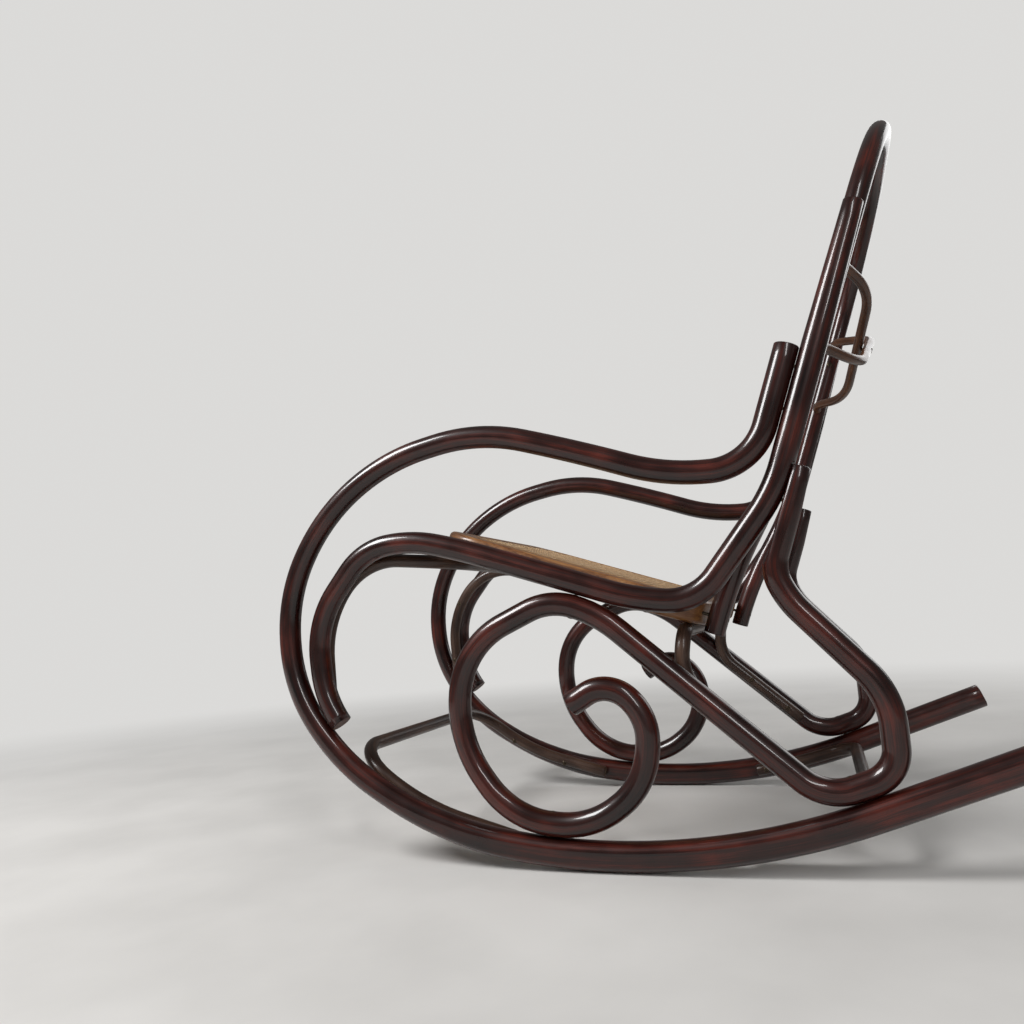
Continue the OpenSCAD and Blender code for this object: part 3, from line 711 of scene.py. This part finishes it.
def lay_strand(mesh, middle, way, step, height):
    """One strand: a flat strip along way through middle, as long as the sheet lets it be."""
    spans = []
    for sign in (-1, 1):
        low, high = 0.0, float(SHEET_REACH)
        for _ in range(HALVINGS):
            half = (low + high) / 2
            if inside(middle.x + way.x * sign * half, middle.y + way.y * sign * half) > 0:
                low = half
            else:
                high = half
        spans.append(low)
    length = spans[0] + spans[1]
    if inside(middle.x, middle.y) <= 0 or length < PITCH:
        return
    count = math.ceil(length / step)
    verts = bmesh.ops.create_grid(mesh, x_segments=count, y_segments=1, size=0.5)["verts"]
    bmesh.ops.scale(mesh, vec=(length, STRAND_W, 1), verts=verts)
    bmesh.ops.translate(mesh, vec=((spans[1] - spans[0]) / 2, 0, 0), verts=verts)
    shade = mesh.verts.layers.float_vector["straight"]
    for v in verts:
        v[shade] = (v.co.y, middle.x * TONE_STEP_X + middle.y * TONE_STEP_Y, v.co.x)
    turn = Matrix.Rotation(math.atan2(way.y, way.x), 4, "Z")
    bmesh.ops.transform(mesh, matrix=Matrix.Translation(middle) @ turn, verts=verts)
    for v in verts:
        v.co.z = CANE_LEVEL + height(v.co.x, v.co.y)


mesh = bmesh.new()
mesh.verts.layers.float_vector.new("straight")
wave = 2 * math.pi / PITCH
across_half, along_half = math.floor(SHEET_W / 2 / PITCH), math.floor(SHEET_L / 2 / PITCH)
for k in range(-across_half, across_half + 1):
    for beside in (-PAIR_GAP, PAIR_GAP):
        lay_strand(mesh, Vector((k * PITCH + beside, 0, 0)), Vector((0, 1, 0)), PITCH / 2,
                   lambda x, y: -PAIR_LIFT)
for k in range(-along_half, along_half + 1):
    for beside in (-PAIR_GAP, PAIR_GAP):
        lay_strand(mesh, Vector((0, k * PITCH + beside, 0)), Vector((1, 0, 0)), PITCH / 2,
                   lambda x, y: PAIR_LIFT)
diagonals = math.ceil((SHEET_W + SHEET_L) / 2 / PITCH)
for k in range(-diagonals, diagonals):
    start = (k + 0.5) * PITCH
    for slant, reach in ((1, OVER), (-1, -UNDER)):
        # Towards the corners the start is shifted along the sheet until it lies inside
        middle = Vector((start / 2, -slant * start / 2, 0))
        way = Vector((1, slant, 0)).normalized()
        shift = 0
        while inside(middle.x, middle.y) <= 0 and shift < SHIFTS:
            shift += 1
            nudge = (SHEET_W / 2 - SHEET_L / 2) / SHIFTS * (1 if start > 0 else -1)
            middle = middle + Vector((nudge, slant * nudge, 0))
        lay_strand(mesh, middle, way, PITCH * math.sqrt(2) / 4,
                   lambda x, y: reach * math.cos(wave * y))
for f in mesh.faces:
    f.smooth = True

# Split rattan keeps its glossy skin on top. It is straw-coloured, with fine streaks along each
# strand, and some strands are browner than their neighbours.
rattan = bpy.data.materials.new("split_rattan_cane")
rattan.use_nodes = True
tree = rattan.node_tree
shader = tree.nodes["Principled BSDF"]
place = add(tree, "ShaderNodeAttribute", attribute_name="straight").outputs["Vector"]
# skin streaks 0.35 mm wide and 30 mm long, and a different tone for each strand
streak_at = add(tree, "ShaderNodeVectorMath", {0: place, 1: (1 / 0.35, 1 / 40, 1 / 30)},
                operation="MULTIPLY")
streaks = add(tree, "ShaderNodeTexNoise", {"Vector": streak_at.outputs[0], "Scale": 1,
                                           "Detail": 3, "Roughness": 0.6})
tone_at = add(tree, "ShaderNodeVectorMath", {0: place, 1: (0, 1 / 11, 1 / 170)},
              operation="MULTIPLY")
tones = add(tree, "ShaderNodeTexNoise", {"Vector": tone_at.outputs[0], "Scale": 1, "Detail": 2})
both = add(tree, "ShaderNodeMath", {0: streaks.outputs["Fac"], 1: tones.outputs["Fac"]},
           operation="ADD")
share = add(tree, "ShaderNodeMath", {0: both.outputs[0], 1: 0.5}, operation="MULTIPLY")
ramp = add(tree, "ShaderNodeValToRGB", {"Fac": share.outputs[0]})
colours(ramp, [(0.34, "#A07C58"), (0.5, "#CAA67C"), (0.66, "#E6CAA2")])
tree.links.new(ramp.outputs["Color"], shader.inputs["Base Color"])
shader.inputs["Roughness"].default_value = 0.42
shader.inputs["IOR"].default_value = 1.5
relief = add(tree, "ShaderNodeBump", {"Height": streaks.outputs["Fac"], "Strength": 0.3,
                                      "Distance": 0.0002})
tree.links.new(relief.outputs[0], shader.inputs["Normal"])

cane = set_on_seat("woven_cane", mesh, rattan, "seat_cane")
thick = cane.modifiers.new("strand_thickness", "SOLIDIFY")
thick.thickness = STRAND_T * 0.001
thick.offset = 0

# ---- Screws ----
# Slotted steel wood screws hold every joint, with their heads let into the sticks. Their
# plating has dulled to a grey brown.

dull_steel = bpy.data.materials.new("dulled_plated_steel")
dull_steel.use_nodes = True
tree = dull_steel.node_tree
shader = tree.nodes["Principled BSDF"]
place = add(tree, "ShaderNodeTexCoord").outputs["Object"]
# tarnish in patches of about 2 mm
tarnish = add(tree, "ShaderNodeTexNoise", {"Vector": place, "Scale": 1000 / 2, "Detail": 3,
                                           "Roughness": 0.6})
ramp = add(tree, "ShaderNodeValToRGB", {"Fac": tarnish.outputs["Fac"]})
colours(ramp, [(0.35, "#2E2620"), (0.65, "#6B5F50")])
tree.links.new(ramp.outputs["Color"], shader.inputs["Base Color"])
rough = add(tree, "ShaderNodeMapRange", {"Value": tarnish.outputs["Fac"], "From Min": 0.3,
                                         "From Max": 0.7, "To Min": 0.32, "To Max": 0.6})
tree.links.new(rough.outputs[0], shader.inputs["Roughness"])
shader.inputs["Metallic"].default_value = 1

for name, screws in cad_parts.items():
    if "screw" in name:
        screws.data.materials.clear()
        screws.data.materials.append(dull_steel)

# ---- Room ----
# A plain pale floor, one broad soft lamp high at the front left, a long one for the sticks'
# highlights, a weak fill from the other side, and an even pale surround.

bpy.ops.mesh.primitive_plane_add(size=30, location=(0, 0, -0.0002))
floor = bpy.context.object
floor.name = "floor"
# Matt pale concrete, with the faintest clouding over about 300 mm. Past the lamps' reach it
# melts into the surround, so that no dark horizon stands behind the chair.
SURROUND, SURROUND_SEEN = "#F2F1EF", 0.8
floor_finish = bpy.data.materials.new("pale_matt_floor")
floor_finish.use_nodes = True
tree = floor_finish.node_tree
shader = tree.nodes["Principled BSDF"]
place = add(tree, "ShaderNodeTexCoord").outputs["Object"]
clouds = add(tree, "ShaderNodeTexNoise", {"Vector": place, "Scale": 1 / 0.3, "Detail": 5})
ramp = add(tree, "ShaderNodeValToRGB", {"Fac": clouds.outputs["Fac"]})
colours(ramp, [(0.35, "#D0CECB"), (0.65, "#DBD9D6")])
tree.links.new(ramp.outputs["Color"], shader.inputs["Base Color"])
shader.inputs["Roughness"].default_value = 0.75
reach = add(tree, "ShaderNodeVectorMath", {0: place}, operation="LENGTH")
far = add(tree, "ShaderNodeMapRange", {"Value": reach.outputs["Value"], "From Min": 0.9,
                                       "From Max": 3.2}, interpolation_type="SMOOTHSTEP")
path = add(tree, "ShaderNodeLightPath")
melt = add(tree, "ShaderNodeMath", {0: far.outputs[0], 1: path.outputs["Is Camera Ray"]},
           operation="MULTIPLY")
glow = add(tree, "ShaderNodeEmission", {"Color": linear(SURROUND), "Strength": SURROUND_SEEN})
mixed = add(tree, "ShaderNodeMixShader", {0: melt.outputs[0], 1: shader.outputs[0],
                                          2: glow.outputs[0]})
tree.links.new(mixed.outputs[0], tree.nodes["Material Output"].inputs["Surface"])
floor.data.materials.append(floor_finish)


def soft_lamp(name, place, aim, size, watts):
    """A rectangular soft lamp that faces a point."""
    lamp = bpy.data.lights.new(name, "AREA")
    lamp.shape = "RECTANGLE"
    lamp.size, lamp.size_y = size
    lamp.energy = watts
    made = bpy.data.objects.new(name, lamp)
    bpy.context.scene.collection.objects.link(made)
    made.location = place
    made.rotation_euler = (Vector(aim) - Vector(place)).to_track_quat("-Z", "Y").to_euler()


soft_lamp("broad_lamp", (1.6, -2.2, 2.6), (0, 0, 0.4), (1.2, 1.2), 105)
soft_lamp("long_lamp", (2.6, 1.4, 2.2), (0, 0, 0.5), (0.4, 2.0), 34)
soft_lamp("fill_lamp", (-2.4, 1.6, 1.8), (0, 0, 0.4), (2.0, 2.0), 22)

world = bpy.data.worlds.new("pale_surround")
bpy.context.scene.world = world
world.use_nodes = True
tree = world.node_tree
tree.nodes.clear()
path = add(tree, "ShaderNodeLightPath")
seen = add(tree, "ShaderNodeMath", {0: path.outputs["Is Camera Ray"],
                                    1: path.outputs["Is Transmission Ray"]}, operation="MAXIMUM")
strength = add(tree, "ShaderNodeMapRange", {"Value": seen.outputs[0], "To Min": 0.16,
                                            "To Max": SURROUND_SEEN})
surround = add(tree, "ShaderNodeBackground", {"Color": linear(SURROUND),
                                              "Strength": strength.outputs[0]})
add(tree, "ShaderNodeOutputWorld", {"Surface": surround.outputs[0]})

# ---- Camera ----
# It stands low at the chair's left side, slightly behind it, and turns with the chair's roll.

camera_data = bpy.data.cameras.new("camera")
camera_data.sensor_width = 36
camera_data.lens = 28.8
camera = bpy.data.objects.new("camera", camera_data)
bpy.context.scene.collection.objects.link(camera)
forward = Vector((-0.9340, -0.3328, 0.1300)).normalized()
right = Vector((-0.3433, 0.9366, -0.0692))
right = (right - forward * right.dot(forward)).normalized()
up = right.cross(forward)
turn = Matrix((right, up, -forward)).transposed()
camera.matrix_world = Matrix.Translation((1.337, 0.257, 0.329)) @ turn.to_4x4()
bpy.context.scene.camera = camera
bpy.context.scene.view_settings.view_transform = "Standard"
